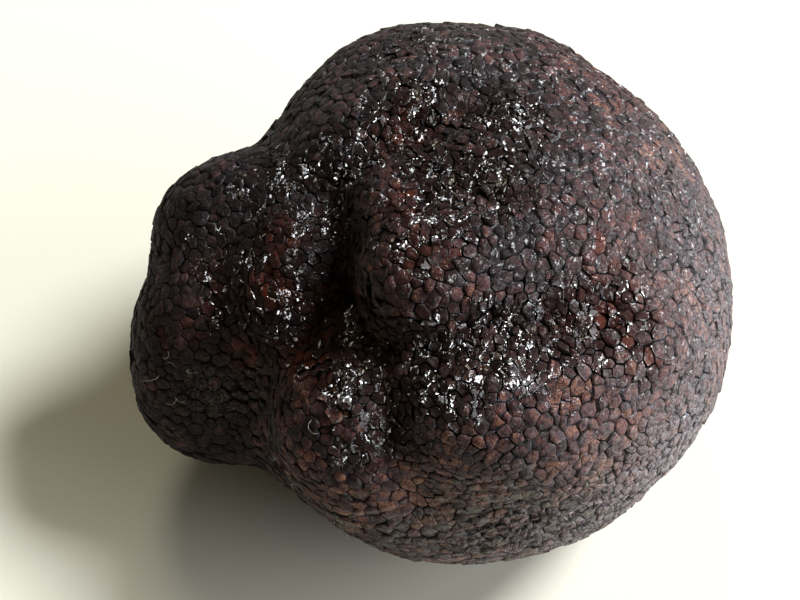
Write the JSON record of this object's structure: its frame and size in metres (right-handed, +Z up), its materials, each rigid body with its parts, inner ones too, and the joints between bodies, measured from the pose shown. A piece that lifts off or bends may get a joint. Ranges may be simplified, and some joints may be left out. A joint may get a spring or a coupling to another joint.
{
  "type": "black truffle",
  "caption": "Whole fresh black truffle: one lobed, furrowed body covered in low many-sided warts, resting on a small flat spot.",
  "frame": {"origin": "on the ground under the middle of the truffle's box, so the truffle stands on z = 0", "axes": "+X along the truffle's length, from the side lobes towards the round main body; +Z up from the flat spot, its shortest extent"},
  "size_m": [0.0558, 0.051, 0.0423],
  "materials": {
    "skin": "matt brown-black wart tops with damp, shiny black cracks and furrows"
  },
  "bodies": {
    "root": {"truffle": "skin"}
  },
  "joints": []
}
